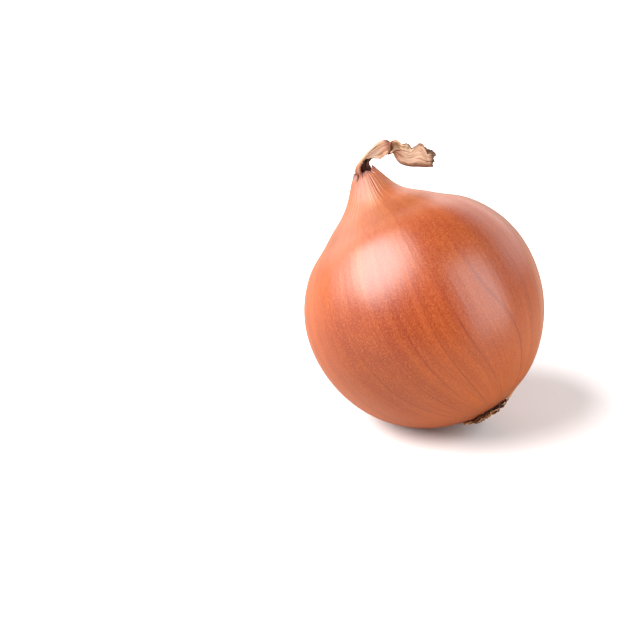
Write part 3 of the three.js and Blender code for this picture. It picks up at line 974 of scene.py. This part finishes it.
# %% Skin material
def dry_onion_skin():
    material, tree = new_material("dry_onion_skin")
    patterns = skin_patterns(tree)
    vein = vein_share(tree, patterns)
    fibres, specks = patterns["fibres"], patterns["specks"]
    low_vein = add_node(tree, "ShaderNodeMath", TIMES, {0: vein, 1: VEIN_RELIEF_SHARE})
    ridges = add_node(tree, "ShaderNodeMath", PLUS, {0: fibres, 1: low_vein})
    normal = add_node(tree, "ShaderNodeBump", inputs={
        "Height": ridges, "Distance": FIBRE_RELIEF, "Strength": 0.5,
    })
    normal = add_node(tree, "ShaderNodeBump", inputs={
        "Height": specks, "Distance": SPECK_RELIEF, "Strength": 0.5, "Normal": normal,
    })
    grain = add_node(tree, "ShaderNodeMath", PLUS, {0: fibres, 1: specks})
    satin = faded(tree, 1.0, grain, (0.7, 1.3), (0.34, 0.47))
    dull = faded(tree, 1.0, patterns["neck_angle"], (6, 20), (0.16, 0))
    roughness = add_node(tree, "ShaderNodeMath", PLUS, {0: satin, 1: dull})
    colour = skin_colour(tree, patterns, vein)
    finish_material(tree, {
        "Base Color": colour, "Roughness": roughness, "IOR": SKIN_IOR, "Normal": normal,
    })
    print(material.name, len(tree.nodes), "nodes")
    return material


# %% [markdown]
# ## Withered leaf
# The ribbon above the neck is dead leaf, dried like straw: matt, straw to pinkish tan, with
# fine lengthwise fibres. Where it comes out of the neck it is dark red-brown, partly its own
# colour and partly painted shade. The dark red-brown in the crease where it turns over and in
# its hollows and open end is painted shade, and the pale tan inside the hollow of the turn is
# painted light. Its edges are brown.

# %% Leaf material
LEAF_FIBRE_MM = 0.7
STAIN_MM = 3.0
ALONG_LEAF = 0.12
LEAF_RELIEF = 0.14 * MM
LEAF_ROUGHNESS = 0.72
LEAF_IOR = 1.45
# The shades from the neck, at 0, to the torn end, at 1. The dark shade at 0 is partly the
# leaf's own red-brown and partly painted shade; the dark ones at 0.44, in the crease where it
# turns over, and at 1, at its open end, are painted shade.
LEAF_SHADES = [
    (0.00, "#4A180C"), (0.09, "#7E3C22"), (0.16, "#AC7E5E"), (0.28, "#A88E7A"), (0.39, "#A2765E"),
    (0.44, "#521C0C"), (0.49, "#8A5438"), (0.68, "#B0907A"), (0.95, "#AC8870"), (1.00, "#4E2A18"),
]


def leaf_colour(tree, fibres):
    place = {}
    for name in ("leaf_along", "leaf_across", "leaf_inside"):
        place[name] = add_node(tree, "ShaderNodeAttribute", {"attribute_name": name}, output="Fac")
    along, across, inside = place.values()
    stains = add_node(tree, "ShaderNodeTexNoise", inputs={
        "Vector": millimetre_place(tree), "Scale": 1 / STAIN_MM, "Detail": 3.0, "Roughness": 0.55,
    })
    colour = add_node(tree, "ShaderNodeValToRGB", inputs={"Fac": along}, stops=LEAF_SHADES)
    colour = tinted(tree, colour, "#6A3A22", fibres, (0.38, 0.48), (0.75, 0))
    colour = tinted(tree, colour, "#C8A888", fibres, (0.55, 0.66), (0, 0.55))
    colour = tinted(tree, colour, "#7E4628", stains, (0.55, 0.70), (0, 0.45))
    # Painted shade inside the sheet where it comes out of the neck.
    colour = tinted(tree, colour, "#46150A", along, (0.20, 0.30), (0.88, 0), inside)
    # Painted light: a pale tan inside the hollow of the turn, which the sheet itself shades.
    colour = tinted(tree, colour, "#EBC8A6", along, (0.42, 0.48), (0, 0.9), inside)
    # Painted shade in the hollow beside the peak after the turn.
    colour = tinted(tree, colour, "#42200F", along, (0.77, 0.84), (0, 0.9), inside)
    off_fold = add_node(tree, "ShaderNodeMath", {"operation": "SUBTRACT"}, {0: across, 1: 0.5})
    off_fold = add_node(tree, "ShaderNodeMath", WITHOUT_SIGN, {0: off_fold})
    edge = faded(tree, 1.0, off_fold, (0.45, 0.50), (0, 0.8))
    outside = faded(tree, 1.0, inside, (0, 1), (1, 0))
    # Painted shade along the fold where the ribbon turns over.
    fold = faded(tree, outside, off_fold, (0.03, 0.10), (0.6, 0))
    colour = tinted(tree, colour, "#4A2414", along, (0.45, 0.55), (0, 1), edge)
    return tinted(tree, colour, "#6A3C24", along, (0.45, 0.55), (0, 1), fold)


def withered_leaf():
    material, tree = new_material("withered_leaf")
    place = add_node(tree, "ShaderNodeAttribute", {"attribute_name": "leaf_place"}, output="Vector")
    long = add_node(tree, "ShaderNodeMapping", inputs={"Vector": place, "Scale": (ALONG_LEAF, 1, 1)})
    fibres = add_node(tree, "ShaderNodeTexNoise", inputs={
        "Vector": long, "Scale": 1 / LEAF_FIBRE_MM, "Detail": 4.0, "Roughness": 0.65,
    })
    normal = add_node(tree, "ShaderNodeBump", inputs={
        "Height": fibres, "Distance": LEAF_RELIEF, "Strength": 0.7,
    })
    colour = leaf_colour(tree, fibres)
    finish_material(tree, {
        "Base Color": colour, "Roughness": LEAF_ROUGHNESS, "IOR": LEAF_IOR, "Normal": normal,
    })
    print(material.name, len(tree.nodes), "nodes")
    return material


# %% [markdown]
# ## Dried roots
# The roots are thin threads of dry, tan cork. Each root has its own tone, which the mesh
# carries; the low tones, down to nearly black, are painted shade between the roots of the mat.
# Each root is darker towards the plate, and the plate darker still, as painted shade.

# %% Root material
GRIT_MM = 0.7
ROOT_RELIEF = 0.10 * MM
ROOT_ROUGHNESS = 0.85
ROOT_IOR = 1.45
# Nearly black to tan: the nearly black end is painted shade.
ROOT_SHADES = [(0.0, "#1C0A05"), (0.35, "#4E2816"), (0.65, "#96623E"), (1.0, "#D8AC84")]


def dried_roots():
    material, tree = new_material("dried_roots")
    shade = add_node(tree, "ShaderNodeAttribute", {"attribute_name": "root_tone_and_shade"}, output="Fac")
    grit = add_node(tree, "ShaderNodeTexNoise", inputs={
        "Vector": millimetre_place(tree), "Scale": 1 / GRIT_MM, "Detail": 3.0, "Roughness": 0.6,
    })
    uneven = faded(tree, 1.0, grit, (0, 1), (-0.35, 0.35))
    tone = add_node(tree, "ShaderNodeMath", PLUS | {"use_clamp": True}, {0: shade, 1: uneven})
    colour = add_node(tree, "ShaderNodeValToRGB", inputs={"Fac": tone}, stops=ROOT_SHADES)
    normal = add_node(tree, "ShaderNodeBump", inputs={
        "Height": grit, "Distance": ROOT_RELIEF, "Strength": 0.6,
    })
    finish_material(tree, {
        "Base Color": colour, "Roughness": ROOT_ROUGHNESS, "IOR": ROOT_IOR, "Normal": normal,
    })
    print(material.name, len(tree.nodes), "nodes")
    return material


skin.data.materials.append(dry_onion_skin())
ribbon.data.materials.append(withered_leaf())
roots.data.materials.append(dried_roots())

# %% [markdown]
# ## Camera
# The camera looks down at the onion by 28 degrees, from far enough that the view is nearly
# parallel, as with a long lens. The onion stands right of the middle of the photograph, so the
# camera is aimed to its left, and no lens shift is needed.

# %% Camera
PHOTO_WIDTH_PX = 640
BODY_CENTRE_PX = (424.3, 308.85)
MM_PER_PX = 0.336
CAMERA_DISTANCE_MM = 600
SENSOR_MM = 36
CAMERA_ELEVATION = LEAN_BACK

camera_forward = Vector((0, math.cos(CAMERA_ELEVATION), -math.sin(CAMERA_ELEVATION)))
camera_right = Vector((1, 0, 0))
camera_up = camera_right.cross(camera_forward)
right_of_middle = (BODY_CENTRE_PX[0] - PHOTO_WIDTH_PX / 2) * MM_PER_PX
above_middle = (PHOTO_WIDTH_PX / 2 - BODY_CENTRE_PX[1]) * MM_PER_PX
body_centre = Vector((0, 0, CENTRE_HEIGHT)) * MM
aim = body_centre - (camera_right * right_of_middle + camera_up * above_middle) * MM

camera_data = bpy.data.cameras.new("camera")
camera_data.sensor_width = SENSOR_MM
camera_data.lens = SENSOR_MM * CAMERA_DISTANCE_MM / (PHOTO_WIDTH_PX * MM_PER_PX)
camera_data.clip_end = 20
camera = bpy.data.objects.new("camera", camera_data)
camera.location = aim - camera_forward * CAMERA_DISTANCE_MM * MM
camera.rotation_euler = camera_forward.to_track_quat("-Z", "Y").to_euler()
bpy.context.scene.collection.objects.link(camera)
bpy.context.scene.camera = camera
print("lens", round(camera_data.lens, 1), "mm")

# %% [markdown]
# ## Floor and light
# The onion lies on white paper, with one large softbox high on the left, which makes the broad
# highlight on the shoulder, a weaker one on the right, and a pale wall behind. The photograph's
# paper has been brightened until it is pure white, so the paper looks brighter to the camera
# than it shines on the onion. A plain white floor would wash out the underside.

# %% Floor
FLOOR_HALF_WIDTH = 3.0
PAPER_AS_SEEN = "#F2EFEF"
PAPER_THAT_SHINES = "#C4B09E"


def make_floor():
    corners = [(-1, -1), (1, -1), (1, 1), (-1, 1)]
    mesh = bpy.data.meshes.new("floor")
    points = [(x * FLOOR_HALF_WIDTH, y * FLOOR_HALF_WIDTH, 0) for x, y in corners]
    mesh.from_pydata(points, [], [(0, 1, 2, 3)])
    floor = bpy.data.objects.new("floor", mesh)
    bpy.context.scene.collection.objects.link(floor)
    material, tree = new_material("white_paper")
    seen = add_node(tree, "ShaderNodeLightPath", output="Is Camera Ray")
    paper = tinted(tree, linear(PAPER_THAT_SHINES), PAPER_AS_SEEN, seen, (0, 1), (0, 1))
    finish_material(tree, {"Base Color": paper, "Roughness": 0.9, "Specular IOR Level": 0.2})
    mesh.materials.append(material)
    return floor


floor = make_floor()

# %% Lights
LIGHT_DISTANCE = 0.75
KEY_DIRECTION = Vector((-0.715, -0.105, 0.705))
FILL_DIRECTION = Vector((0.82, -0.368, 0.433))
BACK_DIRECTION = Vector((0.10, 0.95, 0.26))
ROOM_TINT = (1.0, 0.95, 0.9, 1)
ROOM_STRENGTH = 0.23


def softbox(name, shape, direction, width, height, power, tint):
    data = bpy.data.lights.new(name, "AREA")
    data.shape = shape
    data.size = width
    data.size_y = height
    data.energy = power
    data.color = tint
    light = bpy.data.objects.new(name, data)
    light.location = body_centre + direction.normalized() * LIGHT_DISTANCE
    light.rotation_euler = (-direction).to_track_quat("-Z", "Y").to_euler()
    bpy.context.scene.collection.objects.link(light)
    return light


softbox("key_softbox", "ELLIPSE", KEY_DIRECTION, 0.94, 0.80, 20.5, (1.0, 0.985, 0.975))
softbox("fill_softbox", "RECTANGLE", FILL_DIRECTION, 0.30, 0.90, 5.3, (1.0, 0.985, 0.98))
softbox("back_wall", "RECTANGLE", BACK_DIRECTION, 2.20, 0.34, 5.8, (1.0, 1.0, 1.0))

world = bpy.data.worlds.new("white_room")
world.use_nodes = True
room = world.node_tree.nodes["Background"]
room.inputs["Color"].default_value = ROOM_TINT
room.inputs["Strength"].default_value = ROOM_STRENGTH
bpy.context.scene.world = world
bpy.context.scene.view_settings.view_transform = "Standard"
